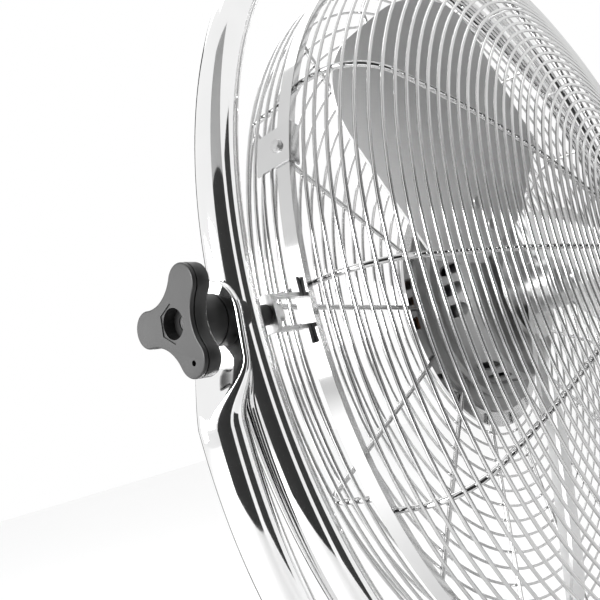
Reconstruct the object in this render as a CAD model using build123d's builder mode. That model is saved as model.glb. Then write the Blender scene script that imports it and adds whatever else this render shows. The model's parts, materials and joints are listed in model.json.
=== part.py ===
from build123d import *
from math import asin, cos, degrees, radians, sin
import os

# Pedestal fan: a wire cage on a chrome ring, hung in a chrome yoke on a telescopic pole.
#
# Millimetres, +Z up. The origin is the middle of the base on the floor, and the fan blows
# towards -Y. Parts of the head are drawn lying face up, about Z with the top of the fan at +Y
# and the pivot line along X, and `head` stands them up at the pivot in their rest tilt.

os.makedirs("parts", exist_ok=True)

# --- driving dimensions ---------------------------------------------------------------
pivot_height = 980.0  # tilt line above the floor, pole at rest
pivot_set_back = 8.0  # tilt line behind the pole's axis
rest_tilt = 5.7  # how far the head leans back at rest, degrees
fit_gap = 0.05  # radial clearance of a running fit
air_gap = 0.2  # clearance between faces that turn past each other
weld_gap = 0.04  # wires lie this close where they are welded

# --- chrome ring round the cage, and the yoke it hangs in -------------------------------
tube_r = 9.5
tube_wall = 1.4
ring_r = 287.0
ring_to_yoke = 1.0  # air between the ring's tube and the yoke's tube
tab_width = 32.0
tab_thick = 3.5
tab_below = 16.0  # flat part of the tab below the pivot
round_below = 40.0  # the arm is a full round tube this far below the pivot
yoke_r = ring_r + 2 * tube_r + ring_to_yoke

# --- cage -------------------------------------------------------------------------------
rod_r = 1.5
wire_r = 0.95
rim_wire_r = 1.4
band_r = 250.0
band_thick = 1.2
band_z = 3.0  # middle of the band, in front of the tilt line
front_rods = 14
rear_rods = 15
first_rod = 177.3  # the rods nearest nine o'clock, degrees
front_pitch = 6.2
rear_side_pitch = 6.2
rear_face_pitch = 10.0
outer_ring_r = 175.0  # the front rings are two sets: outside this radius, and inside it
dome_side = 12.0  # straight side of the front dome
dome_lean = 5.0  # how far that side leans in, degrees
dome_corner_r = 38.0
dome_slope = 20.0  # slope of the dome just inside its corner, degrees
dome_r = 560.0
badge_r = 52.0
rear_corner_z = -33.0
rear_corner_r = 12.0
rear_hub_r = 83.5
rear_hub_z = -43.5

# --- motor --------------------------------------------------------------------------------
drum_r = 71.0
drum_back = -66.0
drum_front = -39.0
shell_r = 62.0
shell_front = -12.0
shell_wall = 2.0
flange_r = 81.0
flange_thick = 2.5
plate_r = 92.0
plate_thick = 2.0
vent_length = 17.0
vent_width = 9.0
vent_groups = 5
vents_in_group = 3
vent_step = 14.1  # degrees between neighbours in a group
vent_start = 155.3  # degrees, first vent of the first group
stator_r = 50.0
stator_bore_r = 29.0
stator_back = -44.0
stator_front = -24.0
rotor_gap = 0.4
shaft_r = 5.0
shaft_back = -62.0
shaft_front = 36.0
bearing_r = 13.0
bearing_width = 7.0

# --- blades --------------------------------------------------------------------------------
blade_count = 3
blade_tip_r = 222.0
blade_root_r = 46.0
blade_root_width = 48.0
blade_width = 122.0
blade_shoulder_r = 78.0
blade_corner_r = 46.0
blade_thick = 1.6
blade_pitch = 21.0
blade_camber_r = 268.0
blade_mid_z = 2.0
first_blade = 126.0
arm_thick = 2.5
arm_width = 30.0
arm_reach = 92.0
rivet_r = 2.4
rivet_places = (60.0, 80.0)
hub_r = 18.0
hub_back = -4.0
hub_front = 24.0
hub_disc_r = 36.0

# --- tilt knobs and the bolts they run on ---------------------------------------------------
bolt_r = 3.0
hex_across = 10.0
pivot_head = 4.2
bracket_x = 272.0  # outer face of the cage bracket
bracket_thick = 2.0
knob_lobe_centre = 16.0
knob_lobe_r = 7.5
knob_waist_r = 11.1
knob_thick = 8.5
collar_r = 10.5
collar_height = 9.6
socket_bore_r = 6.0
saddle_r = 10.0
saddle_reach = 3.0  # the saddle washer stops this far outside the ring's centreline
spacer_r = 4.5

# --- pole ---------------------------------------------------------------------------------------
inner_pole_r = 12.5
outer_pole_r = 16.0
pole_wall = 1.5
socket_r = 15.5
socket_length = 74.0
inner_pole_bottom = 200.0
outer_pole_top = 490.0
collar_bottom = 455.0
collar_top = 512.0
height_collar_r = 24.0

# --- base -----------------------------------------------------------------------------------------
base_r = 215.0
foot_height = 6.0
foot_r = 14.0
feet = 6
weight_r = 206.0
weight_thick = 12.0
cover_edge_z = 4.0
cover_side_top = 20.0
cover_top = 36.0
cover_wall = 1.2
plug_height = 30.0
base_bolt_r = 6.0

yoke_bottom = pivot_height - yoke_r - tube_r
head_plane = Plane(
    origin=(0, pivot_set_back, pivot_height),
    x_dir=(1, 0, 0),
    z_dir=(0, -cos(radians(rest_tilt)), sin(radians(rest_tilt))),
)
head = head_plane.location
sides = (-1, 1)
written = []


def save(piece, name, place=Location()):
    """Label a finished piece, put it in its place and write it."""
    placed = place * piece
    placed.label = name
    export_step(placed, f"parts/{name}.step")
    written.append(name)


def tube_section(outer, inner):
    """A ring-shaped section in the sketch that is open."""
    Circle(outer)
    Circle(inner, mode=Mode.SUBTRACT)


# ===== chrome ring =============================================================================
with BuildPart() as ring_tube:
    with BuildSketch(Plane.YZ):
        with Locations((ring_r, 0)):
            Circle(tube_r)
            Circle(tube_r - tube_wall, mode=Mode.SUBTRACT)
    revolve(axis=Axis.Z)
    with BuildSketch(Plane.YZ):
        Circle(bolt_r + fit_gap)
    extrude(amount=ring_r + 2 * tube_r, both=True, mode=Mode.SUBTRACT)
save(ring_tube.part, "ring_tube", head)

# ===== cage: band, rims, rods and rings =========================================================
band_inner_r = band_r - band_thick
rim_r = band_inner_r - rim_wire_r - weld_gap
rod_base_r = rim_r - rim_wire_r - rod_r - weld_gap
rim_spread = rim_wire_r + weld_gap
lip_inner_z = 2 * rim_wire_r + 2 * weld_gap + 0.1
lip_outer_z = lip_inner_z + band_thick
lip_r = band_inner_r - 2.6

with BuildPart() as rim_band:
    with BuildSketch(Plane.XZ):
        with Locations((0, band_z)):
            Polygon(
                (band_r, -lip_outer_z),
                (band_r, lip_outer_z),
                (lip_r, lip_outer_z),
                (lip_r, lip_inner_z),
                (band_inner_r, lip_inner_z),
                (band_inner_r, -lip_inner_z),
                (lip_r, -lip_inner_z),
                (lip_r, -lip_outer_z),
                align=None,
            )
    revolve(axis=Axis.Z)
save(rim_band.part, "rim_band", head)

# The front rod runs up the side, round the corner and over the dome to the badge.
side_dir = radians(90 - dome_lean)
slope_dir = radians(dome_slope)
corner_end_r = (
    rod_base_r - dome_side * cos(side_dir) - dome_corner_r * (sin(side_dir) - sin(slope_dir))
)
end_dir = asin(sin(slope_dir) - (corner_end_r - badge_r) / dome_r)
with BuildLine(Plane.XZ) as front_path:
    side_line = Line(
        (rod_base_r, band_z + 1),
        (rod_base_r - dome_side * cos(side_dir), band_z + 1 + dome_side * sin(side_dir)),
    )
    corner = JernArc(
        side_line @ 1, side_line % 1, dome_corner_r, degrees(side_dir - slope_dir)
    )
    JernArc(corner @ 1, corner % 1, dome_r, degrees(slope_dir - end_dir))
front_wire = front_path.wires()[0]
dome_top = (front_wire @ 1).Z

with BuildLine(Plane.XZ) as rear_path:
    FilletPolyline(
        (rod_base_r, band_z - 1),
        (rod_base_r, rear_corner_z),
        (rear_hub_r, rear_hub_z),
        radius=rear_corner_r,
    )
rear_wire = rear_path.wires()[0]


def swept_rod(wire):
    """One rod along its path, in the half-plane of +X."""
    with BuildPart() as rod:
        with BuildSketch(Plane(origin=wire @ 0, z_dir=wire % 0)):
            Circle(rod_r)
        sweep(path=wire)
    return rod.part


def ring_places(wire, start, stop, pitch, outward):
    """Centres of the ring wires that lie on the outside of a rod, as (radius, height)."""
    count = int((stop - start) / pitch)
    places = []
    for step in range(count + 1):
        part_way = (start + step * pitch) / wire.length
        point = wire @ part_way
        run = wire % part_way
        offset = (rod_r + wire_r + weld_gap) * outward
        places.append((point.X + run.Z * offset, point.Z - run.X * offset))
    return places


front_places = ring_places(front_wire, 9.0, front_wire.length - 8.0, front_pitch, 1)
rear_side_end = abs(rear_corner_z) + band_z - 2
rear_places = ring_places(rear_wire, 10.0, rear_side_end, rear_side_pitch, -1)
rear_places += ring_places(
    rear_wire, rear_side_end + 4.0, rear_wire.length - 12.0, rear_face_pitch, -1
)

front_rod = swept_rod(front_wire)
rear_rod = swept_rod(rear_wire)
with BuildPart() as front_grille_rods:
    with PolarLocations(0, front_rods, start_angle=first_rod):
        add(front_rod)
save(front_grille_rods.part, "front_grille_rods", head)

with BuildPart() as rear_grille_rods:
    with PolarLocations(0, rear_rods, start_angle=first_rod):
        add(rear_rod)
save(rear_grille_rods.part, "rear_grille_rods", head)

ring_sets = {
    "front_outer_rings": [place for place in front_places if place[0] > outer_ring_r],
    "front_inner_rings": [place for place in front_places if place[0] <= outer_ring_r],
    "rear_grille_rings": rear_places,
}
for ring_set, places in ring_sets.items():
    with BuildPart() as grille_rings:
        with BuildSketch(Plane.XZ):
            with Locations(*places):
                Circle(wire_r)
        revolve(axis=Axis.Z)
    save(grille_rings.part, ring_set, head)

for rim_name, rim_z in (("front_rim_wire", band_z + rim_spread), ("rear_rim_wire", band_z - rim_spread)):
    with BuildPart() as rim_wire:
        with BuildSketch(Plane.XZ):
            with Locations((rim_r, rim_z)):
                Circle(rim_wire_r)
        revolve(axis=Axis.Z)
    save(rim_wire.part, rim_name, head)
print("front rings", len(front_places), "rear rings", len(rear_places), "dome top", dome_top)

# ===== badge and its backing plate ================================================================
badge_z = dome_top + rod_r + weld_gap
badge_drop = 0.6  # the rods dip this much towards the plate's rim
with BuildPart() as badge_plate:
    with BuildSketch(Plane.XY.offset(dome_top - rod_r - badge_drop - plate_thick)):
        Circle(badge_r + 6)
    extrude(amount=plate_thick)
    fillet(badge_plate.edges().filter_by(GeomType.CIRCLE), 0.6)
save(badge_plate.part, "badge_plate", head)

with BuildPart() as badge:
    with BuildSketch(Plane.XZ):
        with Locations((0, badge_z)):
            Polygon(
                (0, 0), (badge_r + 6, 0), (badge_r + 6, 1.6), (badge_r, 4.2), (0, 6.0), align=None
            )
    revolve(axis=Axis.Z)
save(badge.part, "front_badge", head)

# ===== cage brackets, clips and their screws ========================================================
bracket_foot_x = band_r + weld_gap
bracket_leg = 8.2
bracket_pad_height = 12.0
bracket_leg_width = 4.0
bracket_leg_z = band_z - 1
bracket_foot_length = 9.0
with BuildPart() as cage_brackets:
    for side in sides:
        with BuildSketch(Plane.YZ.offset(side * (bracket_x - bracket_thick / 2))):
            RectangleRounded(2 * bracket_leg, bracket_pad_height, 3)
            Circle(bolt_r + fit_gap, mode=Mode.SUBTRACT)
        extrude(amount=bracket_thick / 2, both=True)
        leg_depth = bracket_x - bracket_foot_x
        for up in sides:
            with BuildSketch(Plane.XY.offset(bracket_leg_z)):
                with Locations((side * (bracket_foot_x + leg_depth / 2), up * (bracket_leg - 1))):
                    Rectangle(leg_depth, bracket_thick)
                foot_y = up * (bracket_leg + bracket_foot_length / 2 - 2)
                with Locations((side * (bracket_foot_x + bracket_thick / 2), foot_y)):
                    Rectangle(bracket_thick, bracket_foot_length)
            extrude(amount=bracket_leg_width / 2, both=True)
save(cage_brackets.part, "cage_brackets", head)

clip_angles = (161.0, 251.0, 341.0, 71.0)
clip_thick = 1.0
clip_back_z = -14.0
clip_front_z = band_z + lip_outer_z + 1.2
clip_height = 22.0
clip_outer_r = band_r + clip_thick + weld_gap
clip_hole_r = 2.05
clip_screw_r = 2.0
clip_lip = 7.0
with BuildPart() as grille_clips:
    with BuildSketch(Plane.XZ):
        Polygon(
            (clip_outer_r, clip_back_z),
            (clip_outer_r, clip_front_z),
            (clip_outer_r - clip_lip, clip_front_z),
            (clip_outer_r - clip_lip, clip_front_z - clip_thick),
            (clip_outer_r - clip_thick, clip_front_z - clip_thick),
            (clip_outer_r - clip_thick, clip_back_z),
            align=None,
        )
    revolve(axis=Axis.Z)
    with BuildSketch(Plane.XY.offset(clip_back_z - 1)):
        with PolarLocations(clip_outer_r, len(clip_angles), start_angle=clip_angles[0]):
            Rectangle(40, clip_height)
    extrude(amount=clip_front_z - clip_back_z + 2, mode=Mode.INTERSECT)
save(grille_clips.part, "grille_clips", head)

with BuildPart() as clip_screws:
    for angle in clip_angles:
        direction = Vector(1, 0, 0).rotate(Axis.Z, angle)
        seat = Plane(origin=direction * (clip_outer_r + weld_gap), z_dir=direction)
        with BuildSketch(seat):
            Circle(3.4)
        extrude(amount=1.8, taper=20)
save(clip_screws.part, "clip_screws", head)

# ===== pivot bolts, spacers and washers ================================================================
head_gap = 0.02
bolt_head_x = bracket_x - bracket_thick - head_gap
tab_outer_x = ring_r + tube_r + 2 + tab_thick
tab_inner_x = tab_outer_x - tab_thick
collar_x = tab_outer_x + air_gap
knob_back_x = collar_x + collar_height
knob_face_x = knob_back_x + knob_thick
bolt_end_x = knob_back_x + 2.5
with BuildPart() as pivot_bolts:
    for side in sides:
        inward = Plane(origin=(side * bolt_head_x, 0, 0), x_dir=(0, 1, 0), z_dir=(-side, 0, 0))
        with BuildSketch(inward):
            RegularPolygon(hex_across / 2, 6, major_radius=False)
        extrude(amount=pivot_head)
        with BuildSketch(inward):
            Circle(bolt_r)
        extrude(amount=bolt_head_x - bolt_end_x)
save(pivot_bolts.part, "pivot_bolts", head)

with BuildPart() as ring_groove:
    with BuildSketch(Plane.XZ):
        with Locations((ring_r, 0)):
            Circle(tube_r + weld_gap)
    revolve(axis=Axis.Z)

with BuildPart() as ring_spacers:
    for side in sides:
        with BuildSketch(Plane.YZ.offset(side * (bracket_x + head_gap))):
            Circle(spacer_r)
            Circle(bolt_r + fit_gap, mode=Mode.SUBTRACT)
        extrude(amount=side * (ring_r - tube_r - bracket_x + 3))
    add(ring_groove.part, mode=Mode.SUBTRACT)
save(ring_spacers.part, "ring_spacers", head)

with BuildPart() as saddle_washers:
    for side in sides:
        with BuildSketch(Plane.YZ.offset(side * (tab_inner_x - air_gap))):
            Circle(saddle_r)
            Circle(bolt_r + fit_gap, mode=Mode.SUBTRACT)
        extrude(amount=-side * (tab_inner_x - air_gap - ring_r - saddle_reach))
    add(ring_groove.part, mode=Mode.SUBTRACT)
save(saddle_washers.part, "saddle_washers", head)


# ===== tilt knobs =========================================================================================
def lobed_knob(name, base, hub_height, lobe_turn):
    """A three-lobed hand knob whose collar stands on the plane `base` and points along it."""
    hollow_r = (
        knob_lobe_centre**2
        + knob_waist_r**2
        - 2 * knob_lobe_centre * knob_waist_r * cos(radians(60))
        - knob_lobe_r**2
    ) / (2 * (knob_lobe_centre * cos(radians(60)) - knob_waist_r + knob_lobe_r))
    back = base.offset(hub_height)
    with BuildPart() as knob:
        with BuildSketch(base):
            Circle(collar_r)
        extrude(amount=hub_height + 1, taper=4)
        with BuildSketch(back):
            with PolarLocations(knob_lobe_centre, 3, start_angle=lobe_turn):
                Circle(knob_lobe_r)
            RegularPolygon(knob_lobe_centre, 3, rotation=lobe_turn)
            with PolarLocations(knob_lobe_centre * cos(radians(60)), 3, start_angle=lobe_turn + 60):
                Rectangle(2 * knob_lobe_r, knob_lobe_centre * sin(radians(60)) * 2)
            with PolarLocations(knob_waist_r + hollow_r, 3, start_angle=lobe_turn + 60):
                Circle(hollow_r, mode=Mode.SUBTRACT)
        extrude(amount=knob_thick)
        with BuildSketch(base):
            Circle(bolt_r + fit_gap)
        extrude(amount=hub_height + knob_thick, mode=Mode.SUBTRACT)
        with BuildSketch(back.offset(3)):
            Circle(socket_bore_r)
        extrude(amount=knob_thick, mode=Mode.SUBTRACT)
    knob.part.label = name
    return knob.part


lobe_turns = {-1: 53.9, 1: 66.1}  # one lobe to the rear, two to the front
knob_names = {-1: "tilt_knob_left", 1: "tilt_knob_right"}
for side in sides:
    base = Plane(origin=(side * collar_x, 0, 0), x_dir=(0, 0, 1), z_dir=(side, 0, 0))
    save(lobed_knob(knob_names[side], base, collar_height, lobe_turns[side]), knob_names[side], head)

# ===== motor: shells, stator, rotor, shaft and bearings =====================================================
plate_front = rear_hub_z - rod_r - weld_gap
drum_wall = shell_wall
shell_split = -47.0  # where the two motor shells meet
bearing_seat_r = bearing_r + 3
shaft_hole_r = shaft_r + 1
with BuildPart() as motor_rear_shell:
    with BuildSketch(Plane.XZ):
        Polygon(
            (shaft_hole_r, drum_back),
            (drum_r - 3, drum_back),
            (drum_r, drum_back + 3),
            (drum_r, shell_split),
            (drum_r - drum_wall, shell_split),
            (drum_r - drum_wall, drum_back + drum_wall),
            (bearing_seat_r, drum_back + drum_wall),
            (bearing_seat_r, drum_back + drum_wall + bearing_width),
            (bearing_r, drum_back + drum_wall + bearing_width),
            (bearing_r, drum_back + drum_wall),
            (shaft_hole_r, drum_back + drum_wall),
            align=None,
        )
    revolve(axis=Axis.Z)
    knob_y = -34.0
    gland_x = 32.0
    with BuildSketch(Plane.XY.offset(drum_back - 1)):
        with Locations((0, knob_y)):
            Circle(3.6)
        with Locations((gland_x, knob_y)):
            Circle(6.1)
    extrude(amount=drum_wall + 2, mode=Mode.SUBTRACT)

vent_from = drum_front + 3
with BuildPart() as motor_front_shell:
    with BuildSketch(Plane.XZ):
        Polygon(
            (drum_r, shell_split + fit_gap),
            (drum_r, drum_front - 2),
            (drum_r - 2, drum_front),
            (shell_r, drum_front),
            (shell_r, shell_front - 8),
            (shell_r - 2.4, shell_front - 2.4),
            (shell_r - 8, shell_front),
            (shaft_hole_r, shell_front),
            (shaft_hole_r, shell_front - shell_wall),
            (bearing_r, shell_front - shell_wall),
            (bearing_r, shell_front - shell_wall - bearing_width),
            (bearing_seat_r, shell_front - shell_wall - bearing_width),
            (bearing_seat_r, shell_front - shell_wall),
            (shell_r - 9, shell_front - shell_wall),
            (shell_r - shell_wall, shell_front - 9),
            (shell_r - shell_wall, drum_front - shell_wall),
            (drum_r - drum_wall, drum_front - shell_wall),
            (drum_r - drum_wall, shell_split + fit_gap),
            align=None,
        )
    revolve(axis=Axis.Z)
    with BuildSketch(Plane.XZ):
        Polygon(
            (drum_r - 1, plate_front + fit_gap),
            (flange_r, plate_front + fit_gap),
            (flange_r, plate_front + fit_gap + flange_thick),
            (drum_r - 1, plate_front + fit_gap + flange_thick),
            align=None,
        )
    revolve(axis=Axis.Z)
    for group in range(vent_groups):
        for vent in range(vents_in_group):
            angle = vent_start + vent * vent_step + group * 360 / vent_groups
            direction = Vector(1, 0, 0).rotate(Axis.Z, angle)
            middle = Vector(0, 0, vent_from + vent_length / 2)
            window = Plane(origin=direction * (shell_r - 8) + middle, x_dir=(0, 0, 1), z_dir=direction)
            with BuildSketch(window):
                SlotOverall(vent_length, vent_width)
            extrude(amount=12, mode=Mode.SUBTRACT)
    bolt_circle_r = (drum_r + flange_r) / 2
    with BuildSketch(Plane.XY.offset(plate_front - 1)):
        with PolarLocations(bolt_circle_r, 4, start_angle=45):
            Circle(2.1)
    extrude(amount=flange_thick + 2, mode=Mode.SUBTRACT)
save(motor_rear_shell.part, "motor_rear_shell", head)
save(motor_front_shell.part, "motor_front_shell", head)

with BuildPart() as motor_plate:
    with BuildSketch(Plane.XY.offset(plate_front - plate_thick)):
        Circle(plate_r)
        Circle(drum_r + weld_gap, mode=Mode.SUBTRACT)
        with PolarLocations(bolt_circle_r, 4, start_angle=45):
            Circle(2.1, mode=Mode.SUBTRACT)
    extrude(amount=plate_thick)
save(motor_plate.part, "motor_plate", head)

screw_head = 2.4
with BuildPart() as motor_screws:
    with BuildSketch(Plane.XY.offset(plate_front + fit_gap + flange_thick + head_gap)):
        with PolarLocations(bolt_circle_r, 4, start_angle=45):
            Circle(3.8)
    extrude(amount=screw_head)
    with BuildSketch(Plane.XY.offset(plate_front - plate_thick - 3)):
        with PolarLocations(bolt_circle_r, 4, start_angle=45):
            Circle(2.0)
    extrude(amount=plate_thick + 3 + flange_thick + fit_gap + head_gap)
save(motor_screws.part, "motor_screws", head)

slots = 12
with BuildPart() as stator:
    with BuildSketch(Plane.XY.offset(stator_back)):
        tube_section(stator_r, stator_bore_r)
        with PolarLocations(stator_bore_r + 8, slots):
            SlotOverall(12, 7, mode=Mode.SUBTRACT)
    extrude(amount=stator_front - stator_back)
save(stator.part, "stator", head)

winding_height = 7.0
with BuildPart() as windings:
    with BuildSketch(Plane.XY.offset(stator_front + fit_gap)):
        tube_section(stator_bore_r + 15, stator_bore_r + 3)
    extrude(amount=winding_height)
    with BuildSketch(Plane.XY.offset(stator_back - fit_gap)):
        tube_section(stator_bore_r + 15, stator_bore_r + 3)
    extrude(amount=-winding_height)
save(windings.part, "windings", head)

core_r = stator_bore_r - rotor_gap
with BuildPart() as rotor:
    with BuildSketch(Plane.XY.offset(stator_back)):
        tube_section(core_r, shaft_r)
    extrude(amount=stator_front - stator_back)
save(rotor.part, "rotor", head)

with BuildPart() as shaft:
    with BuildSketch(Plane.XY.offset(shaft_back)):
        Circle(shaft_r)
    extrude(amount=shaft_front - shaft_back)
    chamfer(shaft.edges().filter_by(GeomType.CIRCLE), 0.6)
save(shaft.part, "shaft", head)

with BuildPart() as bearings:
    for low in (drum_back + drum_wall, shell_front - shell_wall - bearing_width):
        with BuildSketch(Plane.XY.offset(low + fit_gap)):
            tube_section(bearing_r - fit_gap, shaft_r + fit_gap)
        extrude(amount=bearing_width - 2 * fit_gap)
save(bearings.part, "bearings", head)

# ===== switch, speed knob, capacitor and cable gland ============================================================
switch_depth = 9.0
with BuildPart() as speed_switch:
    with BuildSketch(Plane.XY.offset(drum_back + drum_wall + fit_gap)):
        with Locations((0, knob_y)):
            Rectangle(20, 14)
    extrude(amount=switch_depth)
    with BuildSketch(Plane.XY.offset(drum_back - 11)):
        with Locations((0, knob_y)):
            Circle(3.0)
    extrude(amount=11 + drum_wall + 1)
save(speed_switch.part, "speed_switch", head)

speed_knob_r = 15.0
with BuildPart() as speed_knob:
    with BuildSketch(Plane.XY.offset(drum_back - air_gap - 0.3)):
        with Locations((0, knob_y)):
            Circle(speed_knob_r)
    extrude(amount=-6, taper=6)
    with BuildSketch(Plane.XY.offset(drum_back - 6)):
        with Locations((0, knob_y)):
            SlotOverall(25, 7)
    extrude(amount=-9)
    with BuildSketch(Plane.XY.offset(drum_back)):
        with Locations((0, knob_y)):
            Circle(3.0 + fit_gap)
    extrude(amount=-12, mode=Mode.SUBTRACT)
save(speed_knob.part, "speed_knob", head)

with BuildPart() as capacitor:
    with BuildSketch(Plane.XY.offset(drum_back + drum_wall + fit_gap)):
        with Locations((0, 58)):
            RectangleRounded(32, 12, 2)
    extrude(amount=20)
save(capacitor.part, "capacitor", head)

gland_bore_r = 3.6
with BuildPart() as cable_gland:
    with BuildSketch(Plane.XY.offset(drum_back - head_gap)):
        with Locations((gland_x, knob_y)):
            Circle(8.5)
    extrude(amount=-10, taper=8)
    with BuildSketch(Plane.XY.offset(drum_back - 1)):
        with Locations((gland_x, knob_y)):
            Circle(6.0)
    extrude(amount=drum_wall + 2.5)
    with BuildSketch(Plane.XY.offset(drum_back - 11)):
        with Locations((gland_x, knob_y)):
            Circle(gland_bore_r)
    extrude(amount=16, mode=Mode.SUBTRACT)
save(cable_gland.part, "cable_gland", head)

# ===== blades, their hub, rivets and nut ==========================================================================
blade_section = Plane(
    origin=(0, 0, blade_mid_z),
    x_dir=(0, cos(radians(blade_pitch)), -sin(radians(blade_pitch))),
    z_dir=(1, 0, 0),
)


def curved_strip(behind, thickness, width):
    """A strip of the blade's curve: `behind` is how far its front face is behind the blade's."""
    with Locations((0, blade_camber_r)):
        Circle(blade_camber_r + behind + thickness)
        Circle(blade_camber_r + behind, mode=Mode.SUBTRACT)
    Rectangle(width, 60, mode=Mode.INTERSECT)


blade_chord = blade_width / cos(radians(blade_pitch))
with BuildPart() as blade_blank:
    with BuildSketch(blade_section.offset(blade_root_r)):
        curved_strip(0, blade_thick, blade_chord + 10)
    extrude(amount=blade_tip_r - blade_root_r)
    with BuildSketch(Plane.XY.offset(-60)) as leaf:
        Polygon(
            (blade_root_r, -blade_root_width / 2),
            (blade_shoulder_r, -blade_width / 2),
            (blade_tip_r - 3, -blade_width / 2),
            (blade_tip_r - 3, blade_width / 2),
            (blade_shoulder_r, blade_width / 2),
            (blade_root_r, blade_root_width / 2),
            align=None,
        )
        fillet(leaf.vertices().group_by(Axis.X)[-1], blade_corner_r)
        fillet(leaf.vertices().group_by(Axis.X)[1], 18)
        Circle(blade_tip_r, mode=Mode.INTERSECT)
    extrude(amount=120, mode=Mode.INTERSECT)

hub_normal = Vector(0, sin(radians(blade_pitch)), cos(radians(blade_pitch)))
with BuildPart() as rivet_holes:
    for place in rivet_places:
        seat = Plane(origin=(place, 0, blade_mid_z), x_dir=(1, 0, 0), z_dir=tuple(hub_normal))
        with BuildSketch(seat):
            Circle(rivet_r + fit_gap)
        extrude(amount=12, both=True)

with BuildPart() as drilled_blade:
    add(blade_blank.part)
    add(rivet_holes.part, mode=Mode.SUBTRACT)

for number in range(blade_count):
    turn = Location((0, 0, 0), (0, 0, first_blade + number * 360 / blade_count))
    save(drilled_blade.part, f"blade_{number + 1}", head * turn)

with BuildPart() as blade_arm:
    with BuildSketch(blade_section.offset(hub_r - 2)):
        curved_strip(blade_thick + weld_gap, arm_thick, arm_width)
    extrude(amount=arm_reach - hub_r + 2)
    add(rivet_holes.part, mode=Mode.SUBTRACT)

with BuildPart() as blade_hub:
    with BuildSketch(Plane.XY.offset(hub_back)):
        Circle(hub_r)
    extrude(amount=hub_front - hub_back)
    fillet(blade_hub.faces().sort_by(Axis.Z)[-1].edges(), 2)
    with BuildSketch(Plane.XY.offset(hub_back)):
        Circle(hub_disc_r)
    extrude(amount=3)
    with PolarLocations(0, blade_count, start_angle=first_blade):
        add(blade_arm.part)
    with BuildSketch(Plane.XY.offset(hub_back - 10)):
        Circle(shaft_r)
    extrude(amount=hub_front - hub_back + 20, mode=Mode.SUBTRACT)
save(blade_hub.part, "blade_hub", head)

with BuildPart() as one_arm_rivets:
    for place in rivet_places:
        seat = Plane(origin=(place, 0, blade_mid_z), x_dir=(1, 0, 0), z_dir=tuple(hub_normal))
        with BuildSketch(seat.offset(-blade_thick - arm_thick - 2 * weld_gap)):
            Circle(rivet_r)
        extrude(amount=blade_thick + arm_thick + 4 * weld_gap)
        with BuildSketch(seat.offset(2 * weld_gap)):
            Circle(2 * rivet_r)
        extrude(amount=1.4, taper=30)
with BuildPart() as rivets:
    with PolarLocations(0, blade_count, start_angle=first_blade):
        add(one_arm_rivets.part)
save(rivets.part, "blade_rivets", head)

nut_height = 7.0
with BuildPart() as hub_nut:
    with BuildSketch(Plane.XY.offset(hub_front + fit_gap)):
        RegularPolygon(8.5, 6, major_radius=False)
        Circle(shaft_r, mode=Mode.SUBTRACT)
    extrude(amount=nut_height)
save(hub_nut.part, "hub_nut", head)

# ===== yoke: one bent tube with flattened ends, and the socket under it ===============================================
tab_middle_x = (tab_inner_x + tab_outer_x) / 2
round_from = degrees(asin(round_below / yoke_r))
half_way = degrees(asin((tab_below + round_below) / 2 / yoke_r))
arc_centre = Vector(0, 0, pivot_height)


def on_arc(side, angle):
    """The point of the yoke's arc that is `angle` degrees below the pivot, on one side."""
    return arc_centre + Vector(side * yoke_r, 0, 0).rotate(Axis.Y, side * angle)


with BuildPart() as yoke_tube:
    with BuildLine() as yoke_path:
        ThreePointArc(
            on_arc(-1, round_from), arc_centre - Vector(0, 0, yoke_r), on_arc(1, round_from)
        )
    with BuildSketch(Plane(origin=yoke_path.line @ 0, x_dir=(0, 1, 0), z_dir=yoke_path.line % 0)):
        tube_section(tube_r, tube_r - tube_wall)
    sweep(path=yoke_path.wires()[0])

for side in sides:
    downwards = Vector(0, 0, -1).rotate(Axis.Y, side * round_from)
    tab_centre = Vector(side * tab_middle_x, pivot_set_back, pivot_height)
    tab_foot = tab_centre - Vector(0, 0, tab_below)
    between = (tab_foot + on_arc(side, half_way)) / 2
    between.Z = on_arc(side, half_way).Z
    with BuildPart() as flattened_end:
        with BuildSketch(Plane(origin=tab_foot, x_dir=(0, 1, 0), z_dir=(0, 0, -1))):
            Ellipse(tab_width / 2, tab_thick / 2)
        with BuildSketch(Plane(origin=between, x_dir=(0, 1, 0), z_dir=(0, 0, -1))):
            Ellipse((tab_width / 2 + tube_r) / 2, (tab_thick / 2 + tube_r) / 2)
        with BuildSketch(Plane(origin=on_arc(side, round_from), x_dir=(0, 1, 0), z_dir=downwards)):
            Circle(tube_r)
        loft()
        with BuildSketch(Plane(origin=tab_centre, x_dir=(0, 1, 0), z_dir=(side, 0, 0))):
            Circle(tab_width / 2)
            with Locations((0, -side * (tab_below / 2 + 1))):
                Rectangle(tab_width, tab_below + 2)
            Circle(bolt_r + fit_gap, mode=Mode.SUBTRACT)
        extrude(amount=tab_thick / 2, both=True)
    with yoke_tube:
        add(flattened_end.part)
save(yoke_tube.part, "yoke_tube")

with BuildPart() as yoke_groove:
    with BuildSketch(Plane.YZ.offset(0)):
        with Locations((0, pivot_height - yoke_r)):
            Circle(tube_r + weld_gap)
    revolve(axis=Axis((0, 0, pivot_height), (0, 1, 0)))

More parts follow.
